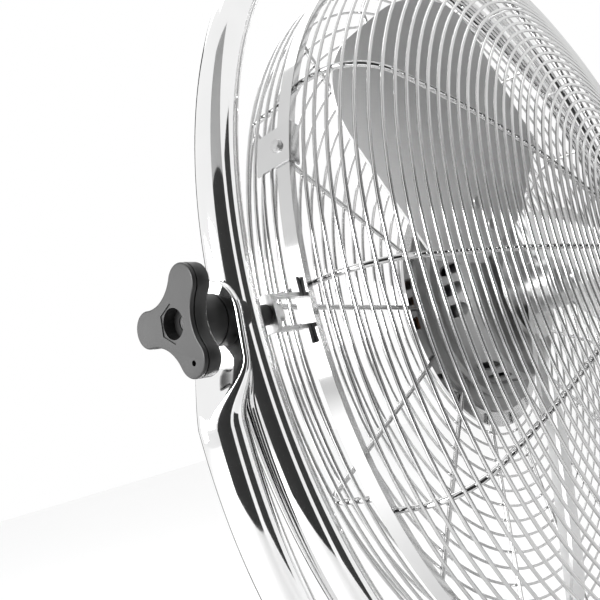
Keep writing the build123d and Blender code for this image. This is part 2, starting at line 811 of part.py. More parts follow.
socket_bottom = yoke_bottom + tube_r - socket_length
socket_bore_top = yoke_bottom - 5
pan_knob_z = socket_bottom + 24
stud_r = 3.0
with BuildPart() as yoke_socket:
    with BuildSketch(Plane.XY.offset(socket_bottom)):
        Circle(socket_r)
    extrude(amount=socket_length)
    with BuildSketch(Plane.XY.offset(socket_bottom)):
        Circle(inner_pole_r + fit_gap)
    extrude(amount=socket_bore_top - socket_bottom, mode=Mode.SUBTRACT)
    with BuildSketch(Plane.XZ.offset(-socket_r + 2)):
        with Locations((0, pan_knob_z)):
            Circle(8)
    extrude(amount=-8)
    with BuildSketch(Plane.XZ):
        with Locations((0, pan_knob_z)):
            Circle(stud_r + fit_gap)
    extrude(amount=-socket_r - 10, mode=Mode.SUBTRACT)
    add(yoke_groove.part, mode=Mode.SUBTRACT)
save(yoke_socket.part, "yoke_socket")

gusset_thick = 4.0
gusset_run = 46.0
with BuildPart() as yoke_gussets:
    for side in sides:
        with BuildSketch(Plane.XZ):
            with Locations((side * (socket_r + weld_gap), socket_bottom + 30)):
                Polygon(
                    (0, 0),
                    (0, socket_length - 30),
                    (side * gusset_run, socket_length - 30),
                    (side * gusset_run, socket_length - 42),
                    align=None,
                )
        extrude(amount=gusset_thick / 2, both=True)
    add(yoke_groove.part, mode=Mode.SUBTRACT)
save(yoke_gussets.part, "yoke_gussets")

# ===== telescopic pole ===================================================================================================
inner_pole_top = socket_bore_top - 3
with BuildPart() as inner_pole:
    with BuildSketch(Plane.XY.offset(inner_pole_bottom)):
        tube_section(inner_pole_r, inner_pole_r - pole_wall)
    extrude(amount=inner_pole_top - inner_pole_bottom)
save(inner_pole.part, "inner_pole")

with BuildPart() as pole_cap:
    with BuildSketch(Plane.XY.offset(inner_pole_top - 12)):
        Circle(inner_pole_r - pole_wall)
    extrude(amount=12)
    with BuildSketch(Plane.XY.offset(inner_pole_top)):
        Circle(inner_pole_r - 0.5)
    extrude(amount=2)
save(pole_cap.part, "inner_pole_plug")

bush_length = 40.0
with BuildPart() as guide_bush:
    with BuildSketch(Plane.XY.offset(inner_pole_bottom + 2)):
        tube_section(outer_pole_r - pole_wall - fit_gap, inner_pole_r)
    extrude(amount=bush_length)
    with BuildSketch(Plane.XY.offset(inner_pole_bottom - 1)):
        tube_section(outer_pole_r - pole_wall - fit_gap, inner_pole_r - pole_wall)
    extrude(amount=1)
    with BuildSketch(Plane.XY.offset(inner_pole_bottom)):
        tube_section(outer_pole_r - pole_wall - fit_gap, inner_pole_r)
    extrude(amount=2)
save(guide_bush.part, "guide_bush")

outer_pole_bottom = foot_height + weight_thick
with BuildPart() as outer_pole:
    with BuildSketch(Plane.XY.offset(outer_pole_bottom)):
        tube_section(outer_pole_r, outer_pole_r - pole_wall)
    extrude(amount=outer_pole_top - outer_pole_bottom)
save(outer_pole.part, "outer_pole")

height_knob_z = collar_top - 12
with BuildPart() as height_collar:
    with BuildSketch(Plane.XZ):
        Polygon(
            (outer_pole_r, collar_bottom),
            (height_collar_r - 4, collar_bottom),
            (height_collar_r, collar_bottom + 12),
            (height_collar_r, collar_top - 4),
            (height_collar_r - 4, collar_top),
            (inner_pole_r + fit_gap, collar_top),
            (inner_pole_r + fit_gap, outer_pole_top),
            (outer_pole_r, outer_pole_top),
            align=None,
        )
    revolve(axis=Axis.Z)
    with BuildSketch(Plane.XZ.offset(-height_collar_r + 3)):
        with Locations((0, height_knob_z)):
            Circle(9)
    extrude(amount=-8)
    with BuildSketch(Plane.XZ):
        with Locations((0, height_knob_z)):
            Circle(stud_r + fit_gap)
    extrude(amount=-height_collar_r - 10, mode=Mode.SUBTRACT)
save(height_collar.part, "height_collar")


# ===== hand screws for height and pan ========================================================================================
def hand_screw(name, reach, height):
    """A small round-ended wing knob on the +Y side, with its stud reaching in to the pole."""
    base = Plane(origin=(0, reach, height), x_dir=(1, 0, 0), z_dir=(0, 1, 0))
    with BuildPart() as knob:
        with BuildSketch(base):
            Circle(11)
        extrude(amount=8, taper=5)
        with BuildSketch(base.offset(6)):
            SlotOverall(46, 12)
        extrude(amount=12)
        fillet(knob.faces().sort_by(Axis.Y)[-1].edges(), 3)
        with BuildSketch(base):
            Circle(stud_r)
        extrude(amount=10, mode=Mode.SUBTRACT)
    save(knob.part, name)
    with BuildPart() as stud:
        with BuildSketch(base.offset(10)):
            Circle(stud_r)
        extrude(amount=-(reach + 10 - inner_pole_r - air_gap))
    save(stud.part, f"{name}_stud")


hand_screw("height_knob", height_collar_r + 5 + air_gap, height_knob_z)
hand_screw("pan_knob", socket_r + 6 + air_gap, pan_knob_z)

# ===== base: cast weight, chrome cover, feet, plug and bolt =======================================================================
weight_top = foot_height + weight_thick
bolt_hole_r = base_bolt_r + 0.3
bolt_head_height = 5.0
with BuildPart() as base_weight:
    with BuildSketch(Plane.XY.offset(foot_height)):
        Circle(weight_r)
    extrude(amount=weight_thick)
    chamfer(base_weight.edges().filter_by(GeomType.CIRCLE), 1.5)
    with BuildSketch(Plane.XY.offset(foot_height)):
        with PolarLocations(weight_r - 26, feet):
            Circle(foot_r + weld_gap)
    extrude(amount=2, mode=Mode.SUBTRACT)
    with BuildSketch(Plane.XY.offset(foot_height)):
        Circle(base_bolt_r * 2 + 3)
    extrude(amount=bolt_head_height, mode=Mode.SUBTRACT)
    with BuildSketch(Plane.XY.offset(foot_height)):
        Circle(bolt_hole_r)
    extrude(amount=weight_thick, mode=Mode.SUBTRACT)
save(base_weight.part, "base_weight")

with BuildPart() as base_feet:
    with BuildSketch(Plane.XY):
        with PolarLocations(weight_r - 26, feet):
            Circle(foot_r)
    extrude(amount=foot_height + 2 - weld_gap)
    fillet(base_feet.edges().group_by(Axis.Z)[0], 1)
save(base_feet.part, "base_feet")

cover_hole_r = outer_pole_r + 0.4
cover_shoulder_r = 8.0
cover_flat_r = 60.0
cover_crown = 3.0
with BuildPart() as base_cover:
    with BuildSketch(Plane.XZ):
        with BuildLine():
            rim_line = Line((0, cover_edge_z), (base_r, cover_edge_z))
            edge_line = Line(rim_line @ 1, (base_r, cover_side_top - cover_shoulder_r))
            shoulder = JernArc(edge_line @ 1, edge_line % 1, cover_shoulder_r, 80)
            brow_middle = (shoulder @ 1 + Vector(cover_flat_r, cover_top)) / 2
            brow = ThreePointArc(
                shoulder @ 1, brow_middle + Vector(0, cover_crown), (cover_flat_r, cover_top)
            )
            top_line = Line(brow @ 1, (0, cover_top))
            Line(top_line @ 1, rim_line @ 0)
        make_face()
    revolve(axis=Axis.Z)
    offset(amount=-cover_wall, openings=base_cover.faces().sort_by(Axis.Z)[0])
    with BuildSketch(Plane.XY):
        Circle(cover_hole_r)
    extrude(amount=cover_top + 5, mode=Mode.SUBTRACT)
save(base_cover.part, "base_cover")

with BuildPart() as pole_trim:
    with BuildSketch(Plane.XZ):
        Polygon(
            (outer_pole_r + 0.1, cover_top + 0.1),
            (34, cover_top + 0.1),
            (33, cover_top + 3),
            (21, cover_top + 10),
            (outer_pole_r + 0.1, cover_top + 11),
            align=None,
        )
    revolve(axis=Axis.Z)
save(pole_trim.part, "pole_trim_ring")

with BuildPart() as pole_plug:
    with BuildSketch(Plane.XY.offset(outer_pole_bottom)):
        tube_section(outer_pole_r - pole_wall, base_bolt_r)
    extrude(amount=plug_height)
save(pole_plug.part, "pole_foot_plug")

with BuildPart() as base_bolt:
    with BuildSketch(Plane.XY.offset(foot_height + 0.5)):
        RegularPolygon(9.5, 6, major_radius=False)
    extrude(amount=bolt_head_height - 2.2)
    with BuildSketch(Plane.XY.offset(foot_height + 0.5)):
        Circle(base_bolt_r)
    extrude(amount=plug_height + weight_thick - 6)
save(base_bolt.part, "base_bolt")

with BuildPart() as base_washer:
    with BuildSketch(Plane.XY.offset(foot_height + bolt_head_height - 1.6)):
        tube_section(base_bolt_r * 2 + 2, base_bolt_r + 0.2)
    extrude(amount=1.5)
save(base_washer.part, "base_washer")

print("nodes", len(written), "yoke bottom", yoke_bottom, "socket from", socket_bottom)
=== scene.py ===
# %% [markdown]
# # A chrome pedestal fan
#
# The fan's frame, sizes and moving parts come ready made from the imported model. This script
# gives every part its finish, makes the hand knobs and the big bent tubes again at a finer
# grain, and sets up a pale studio round them. Every length is in metres.

# %% Load the frame
import json
import math

import bmesh
import bpy
from mathutils import Matrix, Vector


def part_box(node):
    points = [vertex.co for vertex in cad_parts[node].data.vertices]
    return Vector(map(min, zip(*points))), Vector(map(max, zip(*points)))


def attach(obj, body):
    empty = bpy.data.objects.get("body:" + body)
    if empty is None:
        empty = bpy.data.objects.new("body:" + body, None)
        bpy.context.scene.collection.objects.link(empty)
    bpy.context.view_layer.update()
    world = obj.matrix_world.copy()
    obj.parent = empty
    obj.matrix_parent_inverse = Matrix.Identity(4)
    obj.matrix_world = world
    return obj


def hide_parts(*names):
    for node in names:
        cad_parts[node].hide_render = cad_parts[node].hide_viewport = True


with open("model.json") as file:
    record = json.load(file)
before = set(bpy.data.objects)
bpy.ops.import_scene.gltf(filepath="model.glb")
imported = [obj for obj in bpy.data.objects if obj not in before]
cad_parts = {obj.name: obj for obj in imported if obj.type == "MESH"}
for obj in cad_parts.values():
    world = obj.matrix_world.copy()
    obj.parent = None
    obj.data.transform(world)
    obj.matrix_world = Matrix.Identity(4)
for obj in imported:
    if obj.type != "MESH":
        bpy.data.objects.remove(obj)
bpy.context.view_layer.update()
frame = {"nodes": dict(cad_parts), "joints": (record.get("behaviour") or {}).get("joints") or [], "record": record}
joints = {joint["name"]: joint for joint in frame["joints"]}

# %% [markdown]
# ## Where the head points
#
# The head is modelled leaning back a little, and the blade spin joint's axis is the way the
# air goes. Everything on the head is round about that line, so patterns such as brushing
# are turned to it with one matrix.

# %% The head's own axes
pivot = Vector(joints["head_tilt"]["pos_m"])
blow = Vector(joints["blade_spin"]["axis"]).normalized()
across = Vector((1.0, 0.0, 0.0))
head_up = blow.cross(across).normalized()
lean = math.atan2(blow.z, -blow.y)
print("pivot", tuple(pivot), "lean in degrees", round(math.degrees(lean), 2))

# %% [markdown]
# ## Shader maths as plain expressions
#
# A wrapped socket can be added, multiplied and divided like a number, and each operation
# adds its Math node. Any other node comes from `Shader.node`, which sets the node's settings
# first and its inputs after that.


# %% Wrapped sockets
class Value:
    """A number that varies over a surface: a socket that takes part in Python arithmetic."""

    def __init__(self, shader, socket):
        self.shader = shader
        self.socket = socket

    def math(self, operation, *others):
        return self.shader.node("ShaderNodeMath", {"operation": operation}, self, *others)

    def __add__(self, other):
        return self.math("ADD", other)

    def __sub__(self, other):
        return self.math("SUBTRACT", other)

    def __mul__(self, other):
        return self.math("MULTIPLY", other)

    def __truediv__(self, other):
        return self.math("DIVIDE", other)

    def __pow__(self, other):
        return self.math("POWER", other)

    def clamped(self):
        return self.shader.node("ShaderNodeClamp", {}, self, 0.0, 1.0)


# %% One shader tree
class Shader:
    """A material's node tree with its Principled shader ready, and one way to add nodes."""

    def __init__(self, name, **constants):
        self.material = bpy.data.materials.new(name)
        self.material.use_nodes = True
        self.tree = self.material.node_tree
        self.surface = self.tree.nodes["Principled BSDF"]
        for socket, value in constants.items():
            self.surface.inputs[socket.replace("_", " ")].default_value = value
        self.place = self.node("ShaderNodeTexCoord", {}, out="Object")

    def node(self, kind, settings, *values, out=0, **named):
        node = self.tree.nodes.new(kind)
        for setting, value in settings.items():
            setattr(node, setting, value)
        for socket, value in [*enumerate(values), *named.items()]:
            self.feed(node.inputs[socket], value)
        return Value(self, node.outputs[out])

    def feed(self, socket, value):
        if isinstance(value, Value):
            self.tree.links.new(value.socket, socket)
        else:
            socket.default_value = value

    def noise(self, size, detail=2.0, stretch=(1.0, 1.0, 1.0), place=None):
        """Noise whose blotches are `size` metres across."""
        spread = [1.0 / size / s for s in stretch]
        where = self.mapped(place or self.place, scale=spread)
        return self.node("ShaderNodeTexNoise", {}, Vector=where, Scale=1.0, Detail=detail)

    def mapped(self, where, **mapping):
        """Coordinates moved, turned or scaled by a Mapping node."""
        inputs = {name.title(): value for name, value in mapping.items()}
        return self.node("ShaderNodeMapping", {}, Vector=where, **inputs)

    def between(self, mask, low, high):
        """The value that goes from low to high as the mask goes from 0 to 1."""
        return mask * (high - low) + low

    def colours(self, mask, low, high):
        """The colour that goes from low to high with the mask."""
        mix = self.tree.nodes.new("ShaderNodeMix")
        mix.data_type = "RGBA"
        self.feed(mix.inputs[0], mask)
        mix.inputs[6].default_value = (*low, 1.0)
        mix.inputs[7].default_value = (*high, 1.0)
        return Value(self, mix.outputs[2])

    def set(self, **links):
        for socket, value in links.items():
            self.feed(self.surface.inputs[socket.replace("_", " ")], value)

    def bump(self, height, depth):
        """Let the normal follow a height that goes from 0 to 1 over `depth` metres."""
        normal = self.node("ShaderNodeBump", {}, Strength=1.0, Distance=depth, Height=height)
        self.set(Normal=normal)


finishes = {}


def grey(level):
    """A neutral colour."""
    return (level, level, level)



# %% [markdown]
# ## Chrome
#
# Plated tube and plated wire are the same metal with a different history. The tube is buffed
# before it is plated, so it is nearly a mirror, with a faint haze and rare fine pits. Wire is
# drawn and welded, so its plating is a little cloudier and a touch uneven near the welds.


# %% Chrome finishes
def chrome(name, level, low_rough, high_rough, ripple):
    """Plated metal whose gloss drifts slowly, with fine pits."""
    shader = Shader(name, Metallic=1.0)
    haze = shader.noise(0.03, detail=3.0)
    pits = shader.noise(0.0012, detail=1.0)
    shader.set(
        Base_Color=shader.colours(haze, grey(level - 0.05), grey(level + 0.04)),
        Roughness=shader.between(haze * 0.7 + pits * 0.3, low_rough, high_rough),
    )
    shader.bump(shader.noise(0.004), ripple)
    finishes[name] = shader.material


chrome("chrome_tube", 0.88, 0.02, 0.09, 0.000002)
chrome("chrome_wire", 0.62, 0.04, 0.14, 0.000004)
print("finishes", sorted(finishes))

# %% [markdown]
# ## Moulded plastic and rubber
#
# Knobs come out of a spark-eroded mould, which leaves a fine even grain, and hands polish
# the high spots. The grain is fine noise in the bump, and a slower noise lifts the gloss in
# patches. Rubber feet are the same idea, duller and coarser.


# %% Plastic and rubber finishes
def moulded(name, level, low_rough, high_rough, grain, depth):
    """Plastic or rubber with a mould's grain and hand-worn gloss."""
    shader = Shader(name)
    handled = shader.noise(0.02, detail=3.0)
    skin = shader.noise(grain, detail=2.0)
    shader.set(
        Base_Color=shader.colours(handled, grey(level * 0.85), grey(level * 1.2)),
        Roughness=shader.between(handled * 0.6 + skin * 0.4, low_rough, high_rough),
    )
    shader.bump(skin, depth)
    finishes[name] = shader.material


moulded("black_plastic", 0.012, 0.34, 0.5, 0.0005, 0.00003)
moulded("foot_rubber", 0.03, 0.65, 0.85, 0.0011, 0.00008)

# %% [markdown]
# ## Painted castings
#
# The motor shells are die cast and wet painted, which leaves a slight orange peel. The base
# weight is rough cast iron under a thin black paint, so its bump is deeper and its paint is
# uneven.


# %% Paint finishes
def painted(name, level, low_rough, high_rough, peel, depth, metal):
    """Wet paint over a casting."""
    shader = Shader(name, Metallic=metal)
    cloud = shader.noise(0.05, detail=4.0)
    skin = shader.noise(peel, detail=3.0)
    shader.set(
        Base_Color=shader.colours(cloud, grey(level * 0.85), grey(level * 1.15)),
        Roughness=shader.between(skin * 0.5 + cloud * 0.5, low_rough, high_rough),
    )
    shader.bump(skin, depth)
    finishes[name] = shader.material


painted("motor_paint", 0.30, 0.30, 0.46, 0.0016, 0.00004, 0.3)
painted("cast_iron", 0.03, 0.50, 0.80, 0.0030, 0.00030, 0.0)

# %% [markdown]
# ## Bare metals
#
# Blades are cut from brushed sheet, whose scratches run one way, so the noise is stretched
# along the head's height. Fasteners are zinc plated, which is cloudy in small patches.
# The badge is turned on a lathe, so its scratches are circles round the fan's line: the
# pattern reads the distance from that line instead of the place. The motor's core is a stack
# of thin sheets, so its pattern is a wave along that line.

# %% Brushed, plated and turned finishes
BRUSHED = Shader("blade_aluminium", Metallic=1.0)
scratches = BRUSHED.noise(0.0006, detail=3.0, stretch=(60.0, 1.0, 1.0))
smears = BRUSHED.noise(0.06, detail=3.0)
BRUSHED.set(
    Base_Color=BRUSHED.colours(scratches * 0.5 + smears * 0.5, grey(0.70), grey(0.86)),
    Roughness=BRUSHED.between(scratches * 0.5 + smears * 0.5, 0.30, 0.52),
)
BRUSHED.bump(scratches, 0.000015)
finishes["blade_aluminium"] = BRUSHED.material


def plated(name, low, high, patch, low_rough, high_rough):
    """Thin plating or drawn wire, cloudy in patches."""
    shader = Shader(name, Metallic=1.0)
    cloud = shader.noise(patch, detail=4.0)
    shader.set(
        Base_Color=shader.colours(cloud, low, high),
        Roughness=shader.between(cloud, low_rough, high_rough),
    )
    shader.bump(shader.noise(patch / 6), 0.00001)
    finishes[name] = shader.material


plated("zinc_steel", grey(0.46), grey(0.66), 0.004, 0.22, 0.42)
plated("copper_wire", (0.50, 0.22, 0.10), (0.78, 0.38, 0.18), 0.002, 0.25, 0.45)

# %% Turned and stacked finishes
TURNED = Shader("badge_metal", Metallic=1.0)
along_x, along_y, along_z = (
    TURNED.node("ShaderNodeSeparateXYZ", {}, TURNED.place, out=axis) for axis in range(3)
)
off_y = along_y - pivot.y
off_z = along_z - pivot.z
height = off_y * head_up.y + off_z * head_up.z
from_line = (along_x * along_x + height * height) ** 0.5
SCRATCH_SPACING = 0.000625
scratch_place = from_line * (1 / SCRATCH_SPACING)
rings = TURNED.node("ShaderNodeTexNoise", {"noise_dimensions": "1D"}, W=scratch_place, Detail=3.0)
TURNED.set(
    Base_Color=TURNED.colours(rings, grey(0.55), grey(0.80)),
    Roughness=TURNED.between(rings, 0.22, 0.42),
)
TURNED.bump(rings, 0.00001)
finishes["badge_metal"] = TURNED.material

STACKED = Shader("lamination_steel", Metallic=1.0)
SHEET_THICK = 0.0005
flat_y, flat_z = (
    STACKED.node("ShaderNodeSeparateXYZ", {}, STACKED.place, out=axis) for axis in (1, 2)
)
depth_in = (flat_y - pivot.y) * blow.y + (flat_z - pivot.z) * blow.z
sheets = (depth_in * (2 * math.pi / SHEET_THICK)).math("SINE") * 0.5 + 0.5
STACKED.set(
    Base_Color=STACKED.colours(sheets, grey(0.22), grey(0.42)),
    Roughness=STACKED.between(sheets, 0.45, 0.65),
)
STACKED.bump(sheets, 0.00004)
finishes["lamination_steel"] = STACKED.material
print("finishes", sorted(finishes))

# %% [markdown]
# ## Dress the CAD nodes
#
# The record already says which material slot each node has, so one loop hands out the
# finishes.

# %% Hand out the finishes
node_slots = {part["node"]: part["material_slot"] for part in frame["record"]["subparts"]}
for name, node in frame["nodes"].items():
    node.data.materials.clear()
    node.data.materials.append(finishes[node_slots[name]])
print("dressed", len(node_slots), "nodes")

# %% [markdown]
# ## Three-lobed knobs
#
# The tilt knob is moulded in two parts: a lobed body with a collar, and a thin cover over its
# front, with a shadow line where they meet. Half of one lobe is two arcs that touch, so a
# vertex spun about the lobe's centre and another spun about the hollow's centre draw it. A
# mirrored copy and two turned copies close the outline, and extrude and bevel do the rest.

# %% Knob sizes
knob_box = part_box("tilt_knob_left")
LOBE_CENTRE = 0.016
LOBE_R = 0.0075
WAIST_R = 0.0111
COLLAR_HEIGHT = 0.0096
COLLAR_R = 0.0105
KNOB_THICK = 0.0085
COVER_THICK = 0.0016
LINE_DEPTH = 0.0006
BORE_R = 0.006
HEX_R = 0.0077
HEX_DEPTH = 0.0004
BORE_FLOOR = 0.003  # the bore stops this far above the knob's back
BOLT_HOLE_R = 0.0031
PIN_HOLE_R = 0.0011
PIN_HOLE_OUT = 0.002  # the small hole is this far outside its lobe's centre
NECK_SHRINK = 0.0009
COVER_SHRINK = 0.0001
NECK_LAP = 0.0004  # the neck reaches this far into the body and the cover
COLLAR_DRAFT = 0.0008
COLLAR_LAP = 0.0005
CLEAR = 0.002  # a cutter reaches this far past what it cuts
LOBE_TURN = 53.9  # from the head's line to the first lobe, degrees
half_lobe = math.radians(60)
hollow_r = (
    LOBE_CENTRE**2 + WAIST_R**2 - 2 * LOBE_CENTRE * WAIST_R * math.cos(half_lobe) - LOBE_R**2
) / (2 * (LOBE_CENTRE * math.cos(half_lobe) - WAIST_R + LOBE_R))
hollow_centre = Vector((math.cos(half_lobe), math.sin(half_lobe), 0)) * (WAIST_R + hollow_r)
print("knob is", round((knob_box[1] - knob_box[0]).x * 1000, 1), "mm deep, hollows", hollow_r)


# %% Knob outline
def arc(bm, start, centre, angle, steps):
    """Spin one vertex into an arc of edges."""
    first = bmesh.ops.create_vert(bm, co=start)["vert"]
    bmesh.ops.spin(
        bm, geom=first, cent=centre, axis=(0, 0, 1), angle=angle, steps=steps, use_merge=False
    )
    bm.verts.ensure_lookup_table()


def lobed_face(bm, shrink, height):
    """A flat face with three lobes, drawn in by `shrink`, facing up at `height`."""
    lobe_centre = Vector((LOBE_CENTRE, 0, 0))
    to_hollow = (hollow_centre - lobe_centre).to_2d()
    meet = math.atan2(to_hollow.y, to_hollow.x)
    to_waist = -hollow_centre.to_2d()
    back_to_lobe = -to_hollow
    sweep = to_waist.angle_signed(back_to_lobe)
    outline = bmesh.new()
    arc(outline, lobe_centre + Vector((LOBE_R - shrink, 0, 0)), lobe_centre, meet, 14)
    waist = hollow_centre * (1 - (hollow_r + shrink) / hollow_centre.length)
    arc(outline, waist, hollow_centre, -sweep, 10)
    everything = outline.verts[:] + outline.edges[:]
    twin = bmesh.ops.duplicate(outline, geom=everything)["geom"]
    twin_verts = [part for part in twin if isinstance(part, bmesh.types.BMVert)]
    bmesh.ops.scale(outline, vec=(1, -1, 1), verts=twin_verts)
    third = outline.verts[:] + outline.edges[:]
    for turn in (1, 2):
        copy = bmesh.ops.duplicate(outline, geom=third)["geom"]
        copy_verts = [part for part in copy if isinstance(part, bmesh.types.BMVert)]
        spin = Matrix.Rotation(turn * 2 * half_lobe, 3, "Z")
        bmesh.ops.rotate(outline, cent=(0, 0, 0), matrix=spin, verts=copy_verts)
    bmesh.ops.remove_doubles(outline, verts=outline.verts, dist=1e-6)
    bmesh.ops.contextual_create(outline, geom=outline.edges)
    bmesh.ops.translate(outline, vec=(0, 0, height), verts=outline.verts)
    drawn = bpy.data.meshes.new("outline")
    outline.to_mesh(drawn)
    outline.free()
    before = set(bm.faces)
    bm.from_mesh(drawn)
    bpy.data.meshes.remove(drawn)
    return [face for face in bm.faces if face not in before]


def raise_up(bm, faces, amount):
    """Extrude faces straight up and return the new top faces."""
    grown = bmesh.ops.extrude_face_region(bm, geom=faces)["geom"]
    verts = [part for part in grown if isinstance(part, bmesh.types.BMVert)]
    bmesh.ops.translate(bm, vec=(0, 0, amount), verts=verts)
    return [part for part in grown if isinstance(part, bmesh.types.BMFace)]


# %% [markdown]
# ## From bmesh to a riding piece
#
# Every new piece leaves its bmesh the same way: doubles merged, normals turned outwards,
# moved to its place in the fan, shaded smooth with sharp edges kept, given a finish, and
# set to ride on its body.


# %% Finish a piece
def finish_piece(bm, name, body, slot, matrix, smooth_angle):
    """Turn a bmesh into a finished object that rides on a body."""
    bmesh.ops.remove_doubles(bm, verts=bm.verts, dist=1e-6)
    bmesh.ops.transform(bm, matrix=matrix, verts=bm.verts)
    bmesh.ops.recalc_face_normals(bm, faces=bm.faces)
    mesh = bpy.data.meshes.new(name)
    bm.to_mesh(mesh)
    bm.free()
    mesh.shade_smooth()
    mesh.set_sharp_from_angle(angle=math.radians(smooth_angle))
    mesh.materials.append(finishes[slot])
    piece = bpy.data.objects.new(name, mesh)
    bpy.context.scene.collection.objects.link(piece)
    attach(piece, body)
    print(name, len(mesh.polygons), "faces")
    return piece


def rim_edges(bm, height, sharp=math.radians(50)):
    """The edges at one height where the surface turns sharply."""
    return [
        edge
        for edge in bm.edges
        if all(abs(vert.co.z - height) < 1e-6 for vert in edge.verts)
        and len(edge.link_faces) == 2
        and edge.calc_face_angle(0) > sharp
    ]


def soften(bm, edges, width, segments=3):
    """Round some edges over."""
    bmesh.ops.bevel(
        bm,
        geom=edges,
        offset=width,
        affect="EDGES",
        segments=segments,
        profile=0.5,
        material=-1,
        clamp_overlap=True,
    )


# %% Cutters
def cut_with(piece, cutters):
    """Cut solids out of a piece of several overlapping shells, one Boolean at a time."""
    for cutter in cutters:
        mesh = bpy.data.meshes.new("cutter")
        cutter.to_mesh(mesh)
        cutter.free()
        tool = bpy.data.objects.new("cutter", mesh)
        bpy.context.scene.collection.objects.link(tool)
        modifier = piece.modifiers.new("cut", "BOOLEAN")
        modifier.operation = "DIFFERENCE"
        modifier.solver = "EXACT"
        modifier.use_self = True
        modifier.object = tool
        cut = bpy.data.meshes.new_from_object(
            piece.evaluated_get(bpy.context.evaluated_depsgraph_get())
        )
        piece.modifiers.remove(modifier)
        piece.data = cut
        bpy.data.objects.remove(tool)


def drum(radius, low, high, sides, place=(0, 0), wide_top=None):
    """A closed cylinder, cone or prism between two heights."""
    bm = bmesh.new()
    top = radius if wide_top is None else wide_top
    middle = Matrix.Translation((place[0], place[1], (low + high) / 2))
    bmesh.ops.create_cone(
        bm,
        cap_ends=True,
        cap_tris=False,
        segments=sides,
        radius1=radius,
        radius2=top,
        depth=high - low,
        matrix=middle,
    )
    return bm


# %% Make the tilt knobs
def tilt_knob(side, name, turn, drilled):
    """Mould one knob lying on its collar, cut its holes and stand it out from the pivot."""
    back = COLLAR_HEIGHT
    face = back + KNOB_THICK
    line = face - COVER_THICK
    bm = bmesh.new()
    body = lobed_face(bm, 0.0, back)
    raise_up(bm, body, line - LINE_DEPTH - back)
    soften(bm, rim_edges(bm, back), 0.0016)
    soften(bm, rim_edges(bm, line - LINE_DEPTH), 0.0003, 2)
    neck = lobed_face(bm, NECK_SHRINK, line - LINE_DEPTH - NECK_LAP)
    raise_up(bm, neck, LINE_DEPTH + 2 * NECK_LAP)
    cover = lobed_face(bm, COVER_SHRINK, line)
    raise_up(bm, cover, COVER_THICK)
    soften(bm, rim_edges(bm, face), 0.0007, 4)
    low_collar = drum(COLLAR_R, 0.0, back + COLLAR_LAP, 64, wide_top=COLLAR_R - COLLAR_DRAFT)
    collar = bpy.data.meshes.new("collar")
    low_collar.to_mesh(collar)
    low_collar.free()
    bm.from_mesh(collar)
    bpy.data.meshes.remove(collar)
    soften(bm, rim_edges(bm, 0.0), 0.0006)
    outward = Matrix.Rotation(side * math.radians(90), 4, "Y")
    stand = Matrix.Translation(pivot + across * side * collar_x) @ outward
    spin = Matrix.Rotation(turn, 4, "Z")
    piece = finish_piece(bm, name + "_moulding", name, "black_plastic", Matrix.Identity(4), 30)
    hole = Matrix.Rotation(drilled * 2 * half_lobe, 2) @ Vector((LOBE_CENTRE + PIN_HOLE_OUT, 0))
    cut_with(
        piece,
        [
            drum(HEX_R, face - HEX_DEPTH, face + CLEAR, 6),
            drum(BORE_R, back + BORE_FLOOR, face + CLEAR, 48),
            drum(BOLT_HOLE_R, -CLEAR, back + BORE_FLOOR + 0.001, 32),
            drum(PIN_HOLE_R, back - CLEAR, face + CLEAR, 20, place=(hole.x, hole.y)),
        ],
    )
    piece.data.transform(stand @ spin)
    piece.data.set_sharp_from_angle(angle=math.radians(30))
    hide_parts(name)


collar_x = abs(knob_box[1].x - pivot.x)
lobe_rake = math.radians(90 - LOBE_TURN)
tilt_knob(-1, "tilt_knob_left", lean - lobe_rake, drilled=2)
tilt_knob(1, "tilt_knob_right", -half_lobe + lobe_rake - lean, drilled=0)

# %% [markdown]
# ## The big chrome tubes
#
# A mirror finish shows every facet, so the ring and the yoke are made again with many more
# faces than a working model needs. The ring is a circle spun once round the head's line.
# The yoke is a tube whose ends are pressed flat: a pressed tube's section is two half rounds
# with straight runs between them, and its girth doesn't change. Each section here is a
# circle whose two halves are moved apart, and `bridge_loops` joins neighbours.

# %% Ring
TUBE_R = 0.0095
ROUND = 48  # sides of a tube's section
ring_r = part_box("ring_tube")[1].x - pivot.x - TUBE_R
stand_up = Matrix.Translation(pivot) @ Matrix((across, head_up, blow)).transposed().to_4x4()
ring = bmesh.new()
on_side = Matrix.Translation((ring_r, 0, 0)) @ Matrix.Rotation(math.radians(90), 4, "X")
bmesh.ops.create_circle(ring, cap_ends=False, radius=TUBE_R, segments=ROUND, matrix=on_side)
bmesh.ops.spin(
    ring,
    geom=ring.verts[:] + ring.edges[:],
    cent=(0, 0, 0),
    axis=(0, 0, 1),
    angle=2 * math.pi,
    steps=288,
    use_merge=True,
)
big_ring = finish_piece(ring, "polished_ring", "head", "chrome_tube", stand_up, 180)
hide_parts("ring_tube")

# %% Yoke sizes
# The tab's outer face stands just clear of the collar of the knob.
yoke_r = pivot.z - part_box("yoke_tube")[0].z - TUBE_R
TAB_THICK = 0.0035
TAB_R = 0.016
TAB_BELOW = 0.016
ROUND_BELOW = 0.040
KNOB_AIR = 0.0002
tab_x = abs(knob_box[1].x) - KNOB_AIR - TAB_THICK / 2
round_angle = math.asin(ROUND_BELOW / yoke_r)
print("yoke radius", yoke_r, "tab at", tab_x)


